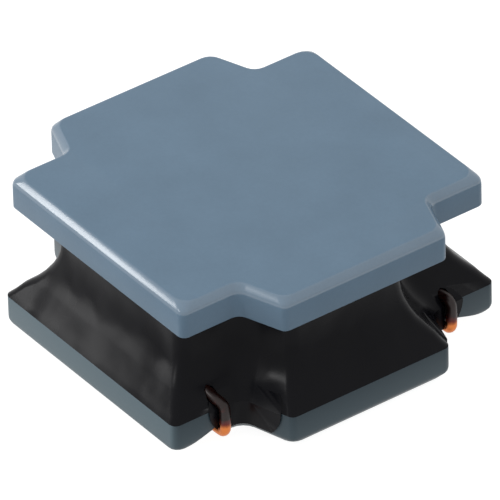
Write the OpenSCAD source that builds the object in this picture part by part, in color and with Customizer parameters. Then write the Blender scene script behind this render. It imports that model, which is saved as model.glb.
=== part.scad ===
// Shielded SMD power inductor, 6 mm class.
// A notched ferrite drum core carries a multilayer coil of enamelled wire. Black magnetic resin
// fills the winding window, and both wire ends are soldered into grooves on the underside.
// +X points to the two notches that carry the wire ends, +Z points away from the board.

/* [Drum core] */
// Length of the base flange along X
base_l = 6.0; // [5.6:0.1:6.6]
// Width of the base flange along Y
base_w = 5.87; // [5.6:0.01:6.6]
// Thickness of the base flange
base_t = 0.54; // [0.48:0.01:0.66]
// Length of the top flange along X
top_l = 5.83; // [5.5:0.01:6.6]
// Width of the top flange along Y
top_w = 5.5; // [5.2:0.01:6.2]
// Thickness of the top flange
top_t = 0.55; // [0.42:0.01:0.8]
// Height of the ferrite core over both flanges
core_h = 2.6; // [2.3:0.02:3.4]
// Diameter of the centre post
post_d = 2.4; // [1.6:0.05:2.8]

/* [Corner notches] */
// Length of the straight sides of the base flange
base_side = 4.25; // [4.1:0.01:4.6]
// Width of the tongue at each end of the base flange
base_tongue = 2.87; // [2.4:0.01:3.1]
// Width of the base flange between the roots of its notches
base_waist = 3.41; // [3.2:0.01:3.6]
// Length of the straight sides of the top flange
top_side = 4.3; // [4.1:0.02:4.7]
// Width of the tongue at each end of the top flange
top_tongue = 2.93; // [2.4:0.01:3.2]
// Width of the top flange between the roots of its notches
top_waist = 3.49; // [3.3:0.01:3.8]
// Radius of the outward vertical corners
corner_r = 0.12; // [0.08:0.01:0.2]
// Radius at the root of each notch of the base flange
base_root_r = 0.25; // [0.15:0.01:0.3]
// Radius at the root of each notch of the top flange
top_root_r = 0.18; // [0.12:0.01:0.3]

/* [Edges] */
// Width of the chamfer around the outer face of each flange
chamfer_w = 0.09; // [0.06:0.01:0.1]
// Depth of the chamfer around the outer face of each flange
chamfer_h = 0.11; // [0.08:0.01:0.2]
// Height over which a chamfer fades into the side walls
chamfer_fade = 0.08; // [0.02:0.01:0.1]

/* [Resin] */
// Depth of the resin wall behind the edge of the base flange
resin_set = 0.56; // [0.46:0.01:0.6]
// Radius of the hollow side of the resin
hollow_r = 1.1; // [0.95:0.01:1.2]
// Inset of the resin where its hollow side starts
foot_set = 0.16; // [0.12:0.01:0.2]
// Height of the resin foot on the base flange
foot_h = 0.2; // [0.14:0.01:0.24]
// Thickness of the resin that has run down beside the wire ends
run_t = 0.03; // [0.02:0.01:0.05]

/* [Coil] */
// Diameter of the wire over its enamel
wire_d = 0.18; // [0.14:0.01:0.24]
// Largest outer diameter that the coil may take
coil_max_d = 4.15; // [3:0.05:4.25]
// Distance of the grooves for the wire ends from the middle plane
lead_y = 2.07; // [2.03:0.01:2.15]
// How far both wire ends lie off the middle of their grooves, towards -Y
lead_off = 0.02; // [-0.02:0.01:0.03]
// How far the finish lead swings outwards before its notch
lead_swing = 0.2; // [0:0.02:0.3]

/* [Terminals] */
// Width of each terminal
terminal_w = 1.4; // [1.1:0.05:1.6]
// Thickness of the metallised layer
plating_t = 0.025; // [0.015:0.005:0.04]
// Thickness of the solder over the lands
solder_t = 0.05; // [0.04:0.005:0.06]
// Depth of the slope beside the wire groove
slope_h = 0.2; // [0.1:0.01:0.22]

/* [Hidden] */

$fn = 96;
arc_steps = 4;              // facets around each corner of an outline
edge_steps = 3;             // facets across each soft edge of a flange
edge_grow = 1.2;            // how much rounder the corners get across a chamfer
resin_grow = 0.2;           // and up the side of the resin
hollow_steps = 6;           // facets up the hollow side of the resin
wire_sides = 8;             // facets around the wire
turn_step = 20;             // degrees between rings along the coil
cut = 0.1;                  // how far a cutting solid runs past what it cuts
fit_gap = 0.01;             // play between the wire and what it passes

// Heights
core_z = plating_t + solder_t;              // underside of the ferrite
base_z = core_z + base_t;                   // upper face of the base flange
core_top = core_z + core_h;
under_z = core_top - top_t;                 // underside of the top flange
window_h = under_z - base_z;

// Outline of a flange: half length, half width, half side, half tongue, half waist, root radius
base_form = concat([base_l, base_w, base_side, base_tongue, base_waist] / 2, base_root_r);
top_form = concat([top_l, top_w, top_side, top_tongue, top_waist] / 2, top_root_r);

// Coil, filled with as many whole turns and pairs of layers as the window takes
wire_r = wire_d / 2;
coil_pitch = wire_d + fit_gap;
chord = cos(turn_step / 2);                 // how far the middle of a chord lies inside its circle
first_r = (post_d / 2 + wire_r + fit_gap) / chord;    // radius of the innermost layer
layers = 2 * floor((coil_max_d / 2 - first_r + wire_r + fit_gap) / (2 * coil_pitch));
last_r = first_r + (layers - 1) * coil_pitch;
bore_r = last_r + wire_r + fit_gap;
lead_z = base_z + wire_r + fit_gap;         // start lead lying on the base flange
coil_z = lead_z + coil_pitch + fit_gap;     // lowest ring of the coil
most_turns = (under_z - fit_gap - wire_r - coil_z) / coil_pitch;    // that one layer can hold

// Wire ends at the notch wall and in the underside
bend_r = wire_r + 0.03;                     // centre line radius of the bends over the edges
wall_x = base_side / 2 + wire_r + fit_gap;  // wire standing against the notch wall
wire_in = 0.03;                             // how deep the wire lies inside the underside
groove_z = core_z + wire_in + wire_r;       // wire lying in its groove
edge_z = base_z + wire_r + fit_gap - bend_r;    // centre of the bend over the upper edge
foot_z = groove_z + bend_r;                     // centre of the bend under the lower edge
tail_in = 0.4;                              // how far inside the side the wire is cut
tail_x = tail_in - base_side / 2;

// Resin that has run down into the notches of the wire ends
channel_r = wire_r + 1.4 * fit_gap;         // room for the wire, open to the wall behind it
run_h = base_t - chamfer_h;                 // how far down the resin reaches
run_r = 0.55;                               // radius of the ball that bounds it
run_x = base_l / 2 - run_r - 0.1;          // middle of that ball
run_y = base_waist / 2 + 0.1;

// Section of the underside at a terminal, as distance from the middle plane and height
land_in = 0.17;                             // how far the terminal keeps inside the side wall
land_edge = base_w / 2 - land_in;
slope_edge = base_w / 2 - chamfer_w;        // where the slope starts
groove_h = wire_in + wire_d + plating_t + fit_gap / 2;
groove_flank = 0.08;                        // slant of the groove sides
groove_in = lead_y - wire_r;
groove_out = lead_y + wire_r;
slope_in = groove_out + groove_flank;       // and where it meets the groove
underside = [
    [land_edge - terminal_w, 0],
    [groove_in - groove_flank, 0],
    [groove_in, groove_h],
    [groove_out, groove_h],
    [slope_in, slope_h],
    [land_edge, slope_h * (slope_edge - land_edge) / (slope_edge - slope_in)]
];
plating_l = base_side - 2 * chamfer_w - 0.08;
solder_l = plating_l - 0.4;

// --- Plane geometry -------------------------------------------------------------------------

function unit(v) = v / norm(v);
function left_of(v) = [-v[1], v[0]];
function turn_of(u, v) = u[0] * v[1] - u[1] * v[0];
function centre_of(pts) = [for (p = pts) 1] * pts / len(pts);

// Where a corner between two directions goes when both sides move left by s
function mitre(before, after, s) =
    (left_of(before) + left_of(after)) * s / (1 + before * after);

// Twelve corners of a notched flange, counter-clockwise
function notched(form) =
    let (a = form[0], b = form[1], c = form[2], e = form[3], n = form[4])
    [
        [-c, -b], [c, -b], [c, -n], [a, -e], [a, e], [c, n],
        [c, b], [-c, b], [-c, n], [-a, e], [-a, -e], [-c, -n]
    ];

// Arc of radius r that rounds the corner q between p and w
function corner_arc(p, q, w, r) =
    let (
        u = unit(p - q),
        v = unit(w - q),
        half = acos(u * v) / 2,
        mid = q + unit(u + v) * r / sin(half),
        from = q + u * r / tan(half) - mid,
        side = turn_of(q - p, w - q) > 0 ? 1 : -1,
        start = atan2(from[1], from[0]),
        sweep = 180 - 2 * half
    )
    [
        for (k = [0:arc_steps])
            let (t = start + side * sweep * k / arc_steps)
                mid + r * [cos(t), sin(t)]
    ];

// Notched outline moved inwards by s, with its corners and roots rounded: an outward corner gets
// rounder by grow times s
function outline(form, s, grow) =
    let (
        raw = notched(form),
        m = len(raw),
        pts = [
            for (i = [0:m - 1])
                let (
                    before = unit(raw[i] - raw[(i + m - 1) % m]),
                    after = unit(raw[(i + 1) % m] - raw[i])
                )
                    raw[i] + mitre(before, after, s)
        ]
    )
    [
        for (i = [0:m - 1])
            let (
                p = pts[(i + m - 1) % m],
                q = pts[i],
                w = pts[(i + 1) % m],
                outward = turn_of(q - p, w - q) > 0
            )
                each corner_arc(p, q, w, outward ? corner_r + grow * s : form[5] + s / 2)
    ];

// Open line of points moved to its right by d, for the layers on the underside
function shifted_line(pts, d) =
    let (last = len(pts) - 1)
    [
        for (i = [0:last])
            let (
                before = unit(pts[max(i, 1)] - pts[max(i, 1) - 1]),
                after = unit(pts[min(i, last - 1) + 1] - pts[min(i, last - 1)])
            )
                pts[i] + mitre(before, after, -d)
    ];

function backwards(list) = [for (i = [len(list) - 1:-1:0]) list[i]];

// Soft corner at q that leaves the line to p and meets the line to w
function soft_corner(p, q, w) =
    [
        for (k = [0:edge_steps])
            let (t = k / edge_steps)
                pow(1 - t, 2) * p + 2 * t * (1 - t) * q + pow(t, 2) * w
    ];

// --- Solids from rings ----------------------------------------------------------------------

// Closed solid through rings that all have the same number of points, capped at its two ends
module skin(rings) {
    m = len(rings[0]);
    last = len(rings) - 1;
    middle = (last + 1) * m;    // index of the first cap's middle point, the other follows it
    sides = [
        for (i = [0:last - 1])
            for (k = [0:m - 1])
                let (a = i * m + k, b = i * m + (k + 1) % m)
                    each [[a, a + m, b], [b, a + m, b + m]]
    ];
    caps = [
        for (k = [0:m - 1])
            let (next = (k + 1) % m)
                each [[middle, k, next], [middle + 1, last * m + next, last * m + k]]
    ];
    polyhedron(
        points = concat([for (r = rings) each r], [centre_of(rings[0]), centre_of(rings[last])]),
        faces = concat(sides, caps),
        convexity = 10
    );
}

// Rings of a flange outline for a profile of [inset, height] pairs
function flange_rings(form, profile, grow) =
    [
        for (step = profile)
            [for (p = outline(form, step[0], grow)) [p[0], p[1], step[1]]]
    ];

// Ring of the wire around point i of a path, whose points are [place, side direction] pairs
function wire_ring(path, i, r) =
    let (
        t = unit(path[min(i + 1, len(path) - 1)][0] - path[max(i - 1, 0)][0]),
        side = unit(path[i][1] - (path[i][1] * t) * t),
        rise = cross(side, t)
    )
    [
        for (k = [0:wire_sides - 1])
            let (a = 360 * k / wire_sides)
                path[i][0] + r * (cos(a) * rise + sin(a) * side)
    ];

// Wire of radius r along the points from and to of a path
module wire_along(path, from, to, r) {
    skin([for (i = [from:to]) wire_ring(path, i, r)]);
}

// --- Path of the wire -----------------------------------------------------------------------

// Point of the coil at an angle, with the radial direction as its side
function on_coil(angle, r, z) =
    [[r * cos(angle), r * sin(angle), z], [cos(angle), sin(angle), 0]];

// Point of a lead, side is 1 on the start lead and -1 on the finish lead
function on_lead(x, z, side) = [[x, side * lead_y - lead_off, z], [0, side, 0]];

// Bend of a lead around an edge of the base flange, at height z, between two angles
function wall_bend(from, to, z, side) =
    [
        for (a = [from:(to - from) / 4:to])
            on_lead(wall_x - bend_r + bend_r * cos(a), z + bend_r * sin(a), side)
    ];

// Angle at which a straight lead from the point p touches a circle of radius r, turning left
function touch_angle(p, r) = atan2(p[1], p[0]) + acos(r / norm(p));

// Start lead: groove, notch wall, then across the base flange to the foot of the post
start_lead = concat(
    [
        on_lead(tail_x, groove_z, 1),
        on_lead(wall_x - 3 * bend_r, groove_z, 1)
    ],
    wall_bend(-90, 0, foot_z, 1),
    wall_bend(0, 90, edge_z, 1),
    [on_lead(wall_x - 2 * bend_r, lead_z, 1)]
);
start_touch = touch_angle([wall_x - 2 * bend_r, lead_y - lead_off], first_r);
finish_y = -lead_y - lead_off;
leave_angle = 360 - 45 - acos(last_r / (lead_y * sqrt(2)));    // where the finish lead leaves the coil

// Coil: odd layers climb, even layers come down, and the wire steps outwards between them
foot_turn = 240;            // stretch that lies on the base flange
climb_turn = 80;            // stretch that lifts the wire off the start lead
step_turn = 60;             // stretch from one layer to the next
coil_start = turn_step * ceil(start_touch / turn_step);
coil_end = turn_step * floor(leave_angle / turn_step - 0.2);
other_turn = foot_turn + climb_turn + (layers - 1) * step_turn;
whole_turns = floor((layers * 360 * most_turns + other_turn + coil_start - coil_end) / 360);
coil_turn = coil_end - coil_start + 360 * whole_turns;
layer_turn = (coil_turn - other_turn) / layers;
coil_h = coil_pitch * layer_turn / 360;
cycle = layer_turn + step_turn;

function coil_point(a) =
    let (
        foot = (a - foot_turn) / climb_turn,
        up = max(a - foot_turn - climb_turn, 0),
        k = floor(up / cycle),
        part = min((up - k * cycle) / layer_turn, 1),
        step = max((up - k * cycle - layer_turn) / step_turn, 0),
        height = coil_h * (k % 2 == 0 ? part : 1 - part),
        lift = (coil_z - lead_z) * min(max(foot, 0), 1)
    )
    on_coil(coil_start + a, first_r + coil_pitch * (k + step), lead_z + lift + height);

coil = [for (a = [0:turn_step:coil_turn]) coil_point(a)];

// Finish lead: straight off the last turn, then swinging round to its notch and its groove
swing_end = 60;     // angle on the bend over the edge at which the swing meets it
swing_reach = 0.34;  // distance of the curve's control points from the bend
free_reach = 1.3;   // and from the coil
swing_to = [
    wall_x - bend_r + bend_r * cos(swing_end),
    finish_y,
    edge_z + bend_r * sin(swing_end)
];
swing_back = swing_to + swing_reach * [-sin(swing_end), 0, cos(swing_end)] + [0, -lead_swing, 0];
leave_from = [last_r * cos(leave_angle), last_r * sin(leave_angle), coil_z];
leave_to = leave_from + free_reach * [-sin(leave_angle), cos(leave_angle), 0];

// Cubic curve through four control points
function curve(c, t) =
    pow(1 - t, 3) * c[0] + 3 * t * pow(1 - t, 2) * c[1]
    + 3 * pow(t, 2) * (1 - t) * c[2] + pow(t, 3) * c[3];

swing = [
    for (t = [0:1 / 8:7 / 8])
        [curve([leave_from, leave_to, swing_back, swing_to], t), [0, -1, 0]]
];
finish_lead = concat(
    swing,
    wall_bend(swing_end, 0, edge_z, -1),
    wall_bend(0, -90, foot_z, -1),
    [
        on_lead(wall_x - 3 * bend_r, groove_z, -1),
        on_lead(tail_x, groove_z, -1)
    ]
);

wire_path = concat(start_lead, coil, finish_lead);
wire_end = len(wire_path) - 1;
start_inside = len(start_lead) + 1;                 // here the start lead is inside the coil
finish_inside = wire_end - len(finish_lead) - 1;    // and here the finish lead still is

// --- Sub-parts ------------------------------------------------------------------------------

// Pressed and sintered in one piece: two notched flanges on a round post
module drum_core() {
    color("slategray") {
        difference() {
            flange(base_form, base_z, core_z);
            for (side = [-1, 1]) wire_groove(side);
        }
        translate([0, 0, base_z - cut]) cylinder(d = post_d, h = window_h + 2 * cut);
        flange(top_form, under_z, core_top);
    }
}

// Profile of a chamfer between the corners low and high, soft where it meets wall and face
function chamfer_profile(low, high, fade) =
    let (slope = high - low)
    concat(
        soft_corner(low - [0, fade], low, low + 0.25 * slope),
        soft_corner(high - 0.15 * slope, high, high + [0.15 * norm(slope), 0])
    );

// Flange between its inner face at height inner and its chamfered outer face at height outer
module flange(form, inner, outer) {
    up = sign(outer - inner);
    low = [0, outer - up * chamfer_h];
    profile = concat([[0, inner]], chamfer_profile(low, [chamfer_w, outer], up * chamfer_fade));
    skin(flange_rings(form, up > 0 ? profile : backwards(profile), edge_grow));
}

// Groove with a slope on its outer side, along the whole underside
module wire_groove(side) {
    roof = [for (i = [1:len(underside) - 2]) underside[i]];
    section = concat(roof, [[slope_edge, 0], [slope_edge, -cut], [groove_in - groove_flank, -cut]]);
    along_x(section, side, base_l);
}

// Solid of a given length along X from a section of the underside, mirrored for side -1
module along_x(section, side, length) {
    translate([0, 0, core_z]) rotate([90, 0, 90]) linear_extrude(length, center = true)
        polygon([for (p = section) [side * p[0], p[1]]]);
}

// One length of enamelled wire from end to end
module winding() {
    color("sienna") wire_along(wire_path, 0, wire_end, wire_r);
}

// Resin between the flanges: it rises from the edge of the base flange in a hollow curve
module resin_shield() {
    arc_s = resin_set - hollow_r;
    foot_angle = acos((foot_set - arc_s) / hollow_r);
    arc_z = base_z + foot_h + hollow_r * sin(foot_angle);
    toe = [0.45 * foot_set, base_z + 0.4 * foot_h];     // keeps the foot full
    profile = concat(
        [[0, base_z], toe],
        [
            for (k = [0:hollow_steps])
                let (a = foot_angle * (1 - k / hollow_steps))
                    [arc_s + hollow_r * cos(a), arc_z - hollow_r * sin(a)]
        ],
        [[resin_set, under_z]]
    );
    color([0.1, 0.1, 0.11]) difference() {
        union() {
            skin(flange_rings(base_form, profile, resin_grow));
            for (side = [-1, 1]) resin_run(side);
        }
        translate([0, 0, base_z - cut]) cylinder(r = bore_r, h = window_h + 2 * cut);
        wire_along(wire_path, 0, start_inside, channel_r);
        wire_along(wire_path, finish_inside, wire_end, channel_r);
    }
}

// Resin that has run down the wall of the notch beside one wire end
module resin_run(side) {
    low = base_z - run_h;
    film = [[0, low], [-run_t, low + run_t], [-run_t, base_z], [foot_set, base_z + foot_h]];
    difference() {
        intersection() {
            skin(flange_rings(base_form, film, resin_grow));
            translate([run_x, side * run_y, base_z]) sphere(r = run_r, $fn = 40);
        }
        flange(base_form, base_z, core_z);
    }
}

// Metallised layer that lines one groove and the lands beside it
module terminal(side) {
    color("lightgray")
        along_x(concat(underside, backwards(shifted_line(underside, plating_t))), side, plating_l);
}

// Solder that fills one groove around the wire and gives the flat seat
module solder(side) {
    seat = [[land_edge, -core_z], [land_edge - terminal_w, -core_z]];
    color("silver") difference() {
        along_x(concat(shifted_line(underside, plating_t), seat), side, solder_l);
        translate([tail_x, side * lead_y - lead_off, groove_z]) rotate([0, 90, 0])
            cylinder(d = wire_d, h = base_l, $fn = wire_sides);
    }
}

drum_core();
winding();
resin_shield();
terminal(1);  // terminal_start
terminal(-1);  // terminal_finish
solder(1);  // solder_start
solder(-1);  // solder_finish
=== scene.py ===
"""Shielded SMD inductor: the finish of its pieces, and the studio that it stands in.

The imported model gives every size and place. Lengths below are in millimetres and are turned to
metres by MM where they are used. +X points to the notches that carry the wire ends, +Z is up.
"""

import math

import bpy
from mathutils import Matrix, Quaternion, Vector


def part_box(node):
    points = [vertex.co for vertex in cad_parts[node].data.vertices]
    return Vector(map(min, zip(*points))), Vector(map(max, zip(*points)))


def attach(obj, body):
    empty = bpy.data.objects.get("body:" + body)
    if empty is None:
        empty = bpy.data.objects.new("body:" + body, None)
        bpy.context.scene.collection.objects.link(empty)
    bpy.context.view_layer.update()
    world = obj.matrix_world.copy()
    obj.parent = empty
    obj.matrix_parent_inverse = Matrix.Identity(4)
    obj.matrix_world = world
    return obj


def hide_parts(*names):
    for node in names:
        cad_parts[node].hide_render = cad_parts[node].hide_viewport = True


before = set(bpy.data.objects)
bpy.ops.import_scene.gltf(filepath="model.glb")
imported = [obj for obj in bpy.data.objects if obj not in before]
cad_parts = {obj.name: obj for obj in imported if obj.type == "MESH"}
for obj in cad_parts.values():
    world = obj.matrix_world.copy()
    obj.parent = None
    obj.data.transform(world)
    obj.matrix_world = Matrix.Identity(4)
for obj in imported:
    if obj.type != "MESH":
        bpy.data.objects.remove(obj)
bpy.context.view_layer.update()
MM = 0.001

# --- Ferrite drum core ----------------------------------------------------------------------------
# Nickel-zinc ferrite powder, pressed to two notched flanges on a round post and sintered to one
# blue-grey ceramic piece. Tumbling leaves its chamfers burnished and its other edges slightly round.

EDGE_RADIUS = 0.018          # what tumbling takes off an edge
BASE_TOP = 0.615             # upper face of the base flange
NOTCH_WALL = 2.125           # the straight sides of the base flange end here
CORE_PALE = "#667F94"
CORE_DARK = "#5F778B"
BASE_TONE = "#5A6B73"        # the base flange is given a darker, greener tone than the top flange
END_DARK_TONE = "#2C3B43"        # and its ends darker still, most at their top edge
CLOUD = 0.9                  # width of the faint clouds that pressing leaves
GRAIN = 0.05                 # real grains are a tenth of this, too fine to show
FERRITE_IOR = 1.8
CHAMFER_BAND = 0.2           # depth below the top in which the chamfer lies


def select_only(piece):
    bpy.ops.object.select_all(action="DESELECT")
    piece.select_set(True)
    bpy.context.view_layer.objects.active = piece


def merged_copy(node, name):
    """A copy of a CAD node with its loose triangles joined, to be finished in its place."""
    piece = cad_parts[node].copy()
    piece.data = piece.data.copy()
    piece.name = name
    piece.parent = None
    bpy.context.scene.collection.objects.link(piece)
    select_only(piece)
    bpy.ops.object.mode_set(mode="EDIT")
    bpy.ops.mesh.select_all(action="SELECT")
    bpy.ops.mesh.remove_doubles(threshold=0.0005 * MM)
    bpy.ops.mesh.dissolve_limited(angle_limit=math.radians(0.5))
    bpy.ops.object.mode_set(mode="OBJECT")
    return piece


def round_edges(piece, radius, angle):
    """Rounds every edge that turns by more than the angle, and shades the rest smooth."""
    bevel = piece.modifiers.new("rounding", "BEVEL")
    bevel.width = radius * MM
    bevel.segments = 3
    bevel.limit_method = "ANGLE"
    bevel.angle_limit = math.radians(angle)
    bevel.use_clamp_overlap = True
    select_only(piece)
    bpy.ops.object.modifier_apply(modifier=bevel.name)
    bpy.ops.object.shade_smooth_by_angle(angle=math.radians(32))


def hand_over(piece, node):
    """Puts a finished piece in the place of a CAD node."""
    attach(piece, "root")
    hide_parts(node)


def linear(colour):
    """The linear red, green, blue and alpha of an sRGB hex colour."""
    channels = [int(colour[i:i + 2], 16) / 255 for i in (1, 3, 5)]
    return [c / 12.92 if c <= 0.04045 else ((c + 0.055) / 1.055) ** 2.4 for c in channels] + [1.0]


def new_material(name):
    material = bpy.data.materials.new(name)
    material.use_nodes = True
    return material, material.node_tree, material.node_tree.nodes["Principled BSDF"]


def add(tree, kind, links=None, **settings):
    """Adds one node, with its settings, and what feeds each of its sockets."""
    node = tree.nodes.new(kind)
    for key, value in settings.items():
        setattr(node, key, value)
    for socket, source in (links or {}).items():
        if hasattr(source, "is_linked"):
            tree.links.new(source, node.inputs[socket])
        else:
            node.inputs[socket].default_value = source
    return node


def ferrite_tone(tree, place):
    """Colour of the ceramic: faint clouds from the pressing, a darker base flange, and base flange ends
    darkened most at their top edge.
    """
    clouds = add(tree, "ShaderNodeTexNoise", {
        "Vector": place, "Scale": 1 / (CLOUD * MM), "Detail": 3.0})
    grain = add(tree, "ShaderNodeTexNoise", {
        "Vector": place, "Scale": 1 / (GRAIN * MM), "Detail": 2.0})
    tone = add(tree, "ShaderNodeMix", {0: 0.3, 2: clouds.outputs[0], 3: grain.outputs[0]})
    ramp = add(tree, "ShaderNodeValToRGB", {0: tone.outputs[0]})
    stops = ramp.color_ramp.elements
    stops[0].position, stops[0].color = 0.3, linear(CORE_DARK)
    stops[1].position, stops[1].color = 0.7, linear(CORE_PALE)
    axes = add(tree, "ShaderNodeSeparateXYZ", {0: place})
    # Below the upper face of the base flange the colour turns to the darker, greener base tone.
    base = add(tree, "ShaderNodeMapRange", {
        0: axes.outputs[2], 1: (BASE_TOP + 0.01) * MM, 2: (BASE_TOP - 0.01) * MM})
    darker_base = add(tree, "ShaderNodeMix", {
        0: base.outputs[0], 6: ramp.outputs[0], 7: linear(BASE_TONE)}, data_type="RGBA")
    # The ends of the base flange are darkened further, about half as much at the floor as at the top
    # edge.
    across = add(tree, "ShaderNodeMath", {0: axes.outputs[0]}, operation="ABSOLUTE")
    ends = add(tree, "ShaderNodeMapRange", {
        0: across.outputs[0], 1: (NOTCH_WALL - 0.08) * MM, 2: NOTCH_WALL * MM})
    height = add(tree, "ShaderNodeMapRange", {
        0: axes.outputs[2], 1: 0.1 * MM, 2: BASE_TOP * MM, 3: 0.45, 4: 0.95})
    dark_ends = add(tree, "ShaderNodeMath", {
        0: ends.outputs[0], 1: base.outputs[0]}, operation="MULTIPLY")
    dark_ends = add(tree, "ShaderNodeMath", {
        0: dark_ends.outputs[0], 1: height.outputs[0]}, operation="MULTIPLY")
    ends_darkened = add(tree, "ShaderNodeMix", {
        0: dark_ends.outputs[0], 6: darker_base.outputs[2], 7: linear(END_DARK_TONE)}, data_type="RGBA")
    return ends_darkened.outputs[2], grain.outputs[0]


def sintered_ferrite(name, roughness, level, grain_depth):
    """Matt ceramic with a fine grain, which tumbling burnishes to a soft gloss on the chamfers."""
    material, tree, skin = new_material(name)
    place = add(tree, "ShaderNodeTexCoord").outputs["Object"]
    tone, grain = ferrite_tone(tree, place)
    bump = add(tree, "ShaderNodeBump", {
        "Height": grain, "Strength": 0.3, "Distance": grain_depth * MM})
    tree.links.new(tone, skin.inputs["Base Color"])
    tree.links.new(bump.outputs[0], skin.inputs["Normal"])
    skin.inputs["Roughness"].default_value = roughness
    skin.inputs["IOR"].default_value = FERRITE_IOR
    skin.inputs["Specular IOR Level"].default_value = level
    return material


core = merged_copy("drum_core", "ferrite_core")
round_edges(core, EDGE_RADIUS, 50)
core.data.materials.clear()
core.data.materials.append(sintered_ferrite("sintered_ferrite", 0.42, 0.15, 0.003))
core.data.materials.append(sintered_ferrite("burnished_ferrite", 0.2, 0.5, 0.001))
core_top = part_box("drum_core")[1][2]
for face in core.data.polygons:
    at_top = face.center.z > core_top - CHAMFER_BAND * MM
    slanted = 0.12 < face.normal.z < 0.97
    face.material_index = 1 if at_top and slanted else 0
hand_over(core, "drum_core")

# --- Winding --------------------------------------------------------------------------------------
# Round copper wire with a dark red-brown enamel, wound in layers round the post. Both ends leave
# through the notches, where the enamel is burnt off for soldering and the bright copper shows.

# The near-black colour of the upper wire is partly the dark enamel and partly painted shade of the deep
# notches.
ENAMEL_AND_SHADE = "#1A0805"
ENAMEL_RED = "#6A1A0C"
COPPER = "#D07A42"
BARE_BELOW = 0.33            # height up to which the enamel is burnt off
ENAMEL_ABOVE = 0.5           # height from which it is whole
BURN = 0.12                  # size of the patches at its burnt border
WIRE_SWELL = 0.005           # brings the rounded wire back to its full thickness


def enamelled_copper():
    """Bright metal below, dark glossy enamel above, painted near black to carry the shade of the
    notches too, with a burnt red border between them.
    """
    material, tree, skin = new_material("enamelled_copper")
    place = add(tree, "ShaderNodeTexCoord").outputs["Object"]
    burn = add(tree, "ShaderNodeTexNoise", {
        "Vector": place, "Scale": 1 / (BURN * MM), "Detail": 2.0})
    axes = add(tree, "ShaderNodeSeparateXYZ", {0: place})
    height = add(tree, "ShaderNodeMapRange", {
        0: axes.outputs[2], 1: BARE_BELOW * MM, 2: ENAMEL_ABOVE * MM})
    uneven = add(tree, "ShaderNodeMix", {0: 0.35, 2: height.outputs[0], 3: burn.outputs[0]})
    ramp = add(tree, "ShaderNodeValToRGB", {0: uneven.outputs[0]})
    stops = ramp.color_ramp.elements
    stops[0].position, stops[0].color = 0.2, linear(COPPER)
    # Above, the wire is painted near black: dark enamel with painted shade of the notches.
    stops[1].position, stops[1].color = 0.8, linear(ENAMEL_AND_SHADE)
    middle = stops.new(0.5)
    middle.color = linear(ENAMEL_RED)
    metal = add(tree, "ShaderNodeMapRange", {0: uneven.outputs[0], 1: 0.2, 2: 0.6, 3: 1.0, 4: 0.2})
    tree.links.new(ramp.outputs[0], skin.inputs["Base Color"])
    tree.links.new(metal.outputs[0], skin.inputs["Metallic"])
    skin.inputs["Roughness"].default_value = 0.35
    return material


wire = merged_copy("winding", "wire")
bpy.ops.object.mode_set(mode="EDIT")
bpy.ops.mesh.select_all(action="SELECT")
bpy.ops.mesh.tris_convert_to_quads()
bpy.ops.object.mode_set(mode="OBJECT")
round_wire = wire.modifiers.new("round", "SUBSURF")
round_wire.levels = round_wire.render_levels = 1
bpy.ops.object.modifier_apply(modifier=round_wire.name)
bpy.ops.object.mode_set(mode="EDIT")
bpy.ops.mesh.select_all(action="SELECT")
bpy.ops.transform.shrink_fatten(value=WIRE_SWELL * MM)
bpy.ops.object.mode_set(mode="OBJECT")
bpy.ops.object.shade_smooth()
wire.data.materials.clear()
wire.data.materials.append(enamelled_copper())
hand_over(wire, "winding")

# --- Resin ----------------------------------------------------------------------------------------
# Epoxy filled with iron powder, dispensed round the coil and cured. It hangs between the flanges
# in a hollow skin, glossy and nearly black, and has run a little way down beside the wire ends.

RESIN = "#0D0D11"
WAVE = 1.1                   # length of the waves in the cured skin
WAVE_DEPTH = 0.12
POWDER = 0.05                # real grains are a fifth of this, too fine to show
POWDER_DEPTH = 0.002


def magnetic_resin():
    """Glossy black skin with the slow waves of a cured liquid and a trace of powder."""
    material, tree, skin = new_material("magnetic_resin")
    place = add(tree, "ShaderNodeTexCoord").outputs["Object"]
    waves = add(tree, "ShaderNodeTexNoise", {
        "Vector": place, "Scale": 1 / (WAVE * MM), "Detail": 1.5})
    powder = add(tree, "ShaderNodeTexNoise", {
        "Vector": place, "Scale": 1 / (POWDER * MM), "Detail": 2.0})
    slow = add(tree, "ShaderNodeBump", {
        "Height": waves.outputs[0], "Strength": 1.0, "Distance": WAVE_DEPTH * MM})
    fine = add(tree, "ShaderNodeBump", {
        "Height": powder.outputs[0], "Strength": 0.25, "Distance": POWDER_DEPTH * MM,
        "Normal": slow.outputs[0]})
    tree.links.new(fine.outputs[0], skin.inputs["Normal"])
    gloss = add(tree, "ShaderNodeMapRange", {
        0: waves.outputs[0], 1: 0.35, 2: 0.65, 3: 0.22, 4: 0.34})
    tree.links.new(gloss.outputs[0], skin.inputs["Roughness"])
    skin.inputs["Base Color"].default_value = linear(RESIN)
    skin.inputs["Specular IOR Level"].default_value = 0.1
    return material


resin = merged_copy("resin_shield", "resin")
bpy.ops.object.shade_smooth_by_angle(angle=math.radians(35))
resin.data.materials.clear()
resin.data.materials.append(magnetic_resin())
hand_over(resin, "resin_shield")

# --- Terminals ------------------------------------------------------------------------------------
# Silver paste is printed into each groove of the underside and fired on. The wire end lies in it,
# and tin solder fills the groove and rounds off to a flat seat.

SILVER = "#B9B5AC"
TIN = "#C9CBCC"
RIPPLE = 0.25                # width of the ripples in the set metal
SOLDER_EDGE = 0.03           # surface tension rounds the edge of the solder


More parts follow.
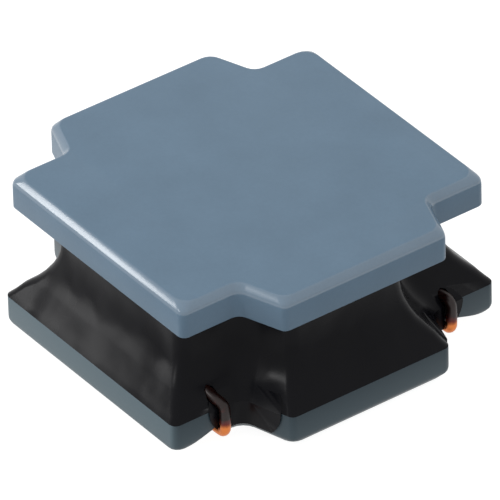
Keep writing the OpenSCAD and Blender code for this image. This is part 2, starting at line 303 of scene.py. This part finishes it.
def cast_metal(name, colour, roughness, ripple):
    """Metal that has set from a melt, with a satin skin and shallow ripples."""
    material, tree, skin = new_material(name)
    place = add(tree, "ShaderNodeTexCoord").outputs["Object"]
    waves = add(tree, "ShaderNodeTexNoise", {
        "Vector": place, "Scale": 1 / (RIPPLE * MM), "Detail": 3.0})
    bump = add(tree, "ShaderNodeBump", {
        "Height": waves.outputs[0], "Strength": 0.6, "Distance": ripple * MM})
    shine = add(tree, "ShaderNodeMapRange", {
        0: waves.outputs[0], 1: 0.3, 2: 0.7, 3: roughness - 0.08, 4: roughness + 0.1})
    tree.links.new(bump.outputs[0], skin.inputs["Normal"])
    tree.links.new(shine.outputs[0], skin.inputs["Roughness"])
    skin.inputs["Base Color"].default_value = linear(colour)
    skin.inputs["Metallic"].default_value = 1.0
    return material


fired_silver = cast_metal("fired_silver", SILVER, 0.45, 0.004)
tin_solder = cast_metal("tin_solder", TIN, 0.28, 0.02)
for end in ("start", "finish"):
    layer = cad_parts["terminal_" + end]
    layer.data.materials.clear()
    layer.data.materials.append(fired_silver)
    solder = merged_copy("solder_" + end, "solder_fill_" + end)
    round_edges(solder, SOLDER_EDGE, 40)
    solder.data.materials.clear()
    solder.data.materials.append(tin_solder)
    hand_over(solder, "solder_" + end)

# --- Studio ---------------------------------------------------------------------------------------
# A plain pale floor in a white room, with two soft boxes low in front that draw the highlights
# along the chamfers. The long lens stands far off, so that the case keeps its parallel edges.

FLOOR_SIZE = 400
FLOOR_GREY = 0.3             # what the floor throws back at the case
FLOOR_GLOW = 0.92            # brings it to white where it is looked at
ROOM_LIGHT = 0.8
ROOM_SEEN = 1.0              # white
KEY_SIZE, KEY_LEVEL = 13, 0.12
SIDE_SIZE, SIDE_LEVEL = 28, 0.25
bpy.ops.object.select_all(action="DESELECT")
bpy.ops.mesh.primitive_plane_add(size=FLOOR_SIZE * MM, location=(0, 0, 0))
floor = bpy.context.active_object
floor.name = "floor"


def seen_directly(tree):
    """1 where the camera, a reflection or a clear material looks, and 0 for light on the case."""
    path = add(tree, "ShaderNodeLightPath")
    mirrored = add(tree, "ShaderNodeMath", {
        0: path.outputs["Is Camera Ray"], 1: path.outputs["Is Glossy Ray"]}, operation="MAXIMUM")
    return add(tree, "ShaderNodeMath", {
        0: mirrored.outputs[0], 1: path.outputs["Is Transmission Ray"]}, operation="MAXIMUM").outputs[0]


def white_floor():
    material, tree, skin = new_material("white_floor")
    skin.inputs["Base Color"].default_value = (FLOOR_GREY, FLOOR_GREY, FLOOR_GREY, 1)
    skin.inputs["Roughness"].default_value = 0.9
    skin.inputs["Specular IOR Level"].default_value = 0.0
    glow = add(tree, "ShaderNodeMath", {
        0: seen_directly(tree), 1: FLOOR_GLOW}, operation="MULTIPLY")
    skin.inputs["Emission Color"].default_value = (1, 1, 1, 1)
    tree.links.new(glow.outputs[0], skin.inputs["Emission Strength"])
    return material


floor.data.materials.append(white_floor())

world = bpy.data.worlds.new("studio")
bpy.context.scene.world = world
world.use_nodes = True
tree = world.node_tree
background = tree.nodes["Background"]
level = add(tree, "ShaderNodeMapRange", {0: seen_directly(tree), 3: ROOM_LIGHT, 4: ROOM_SEEN})
background.inputs["Color"].default_value = (1, 1, 1, 1)
tree.links.new(level.outputs[0], background.inputs["Strength"])


def lamp(name, direction, size, level, distance=80):
    """A square soft box that lights a facing white surface to the given level."""
    data = bpy.data.lights.new(name, "AREA")
    data.size = size * MM
    data.energy = level * (math.pi * distance * MM) ** 2
    item = bpy.data.objects.new(name, data)
    bpy.context.scene.collection.objects.link(item)
    away = Vector(direction).normalized()
    item.location = away * distance * MM
    item.rotation_euler = away.to_track_quat("Z", "Y").to_euler()


lamp("key_lamp", (-0.195, -0.815, 0.539), KEY_SIZE, KEY_LEVEL)
lamp("side_lamp", (-0.661, -0.665, 0.347), SIDE_SIZE, SIDE_LEVEL)

VIEW_AZIMUTH = 54.435
VIEW_ELEVATION = 35.633
VIEW_ROLL = -1.527           # the case stands a little turned in the frame
VIEW_DISTANCE = 164.85
VIEW_AIM = (0.0576, -0.0156, 1.344)
LENS = 806.25
azimuth = math.radians(VIEW_AZIMUTH)
elevation = math.radians(VIEW_ELEVATION)
away = Vector((
    math.cos(elevation) * math.sin(azimuth),
    -math.cos(elevation) * math.cos(azimuth),
    math.sin(elevation),
))
camera_data = bpy.data.cameras.new("camera")
camera_data.lens = LENS
camera_data.sensor_width = 36
camera_data.clip_start = 0.001
camera_data.clip_end = 10
camera = bpy.data.objects.new("camera", camera_data)
bpy.context.scene.collection.objects.link(camera)
camera.location = (Vector(VIEW_AIM) + away * VIEW_DISTANCE) * MM
roll = Quaternion((0, 0, 1), math.radians(VIEW_ROLL))
camera.rotation_euler = (away.to_track_quat("Z", "Y") @ roll).to_euler()
bpy.context.scene.camera = camera
bpy.context.scene.view_settings.view_transform = "Standard"
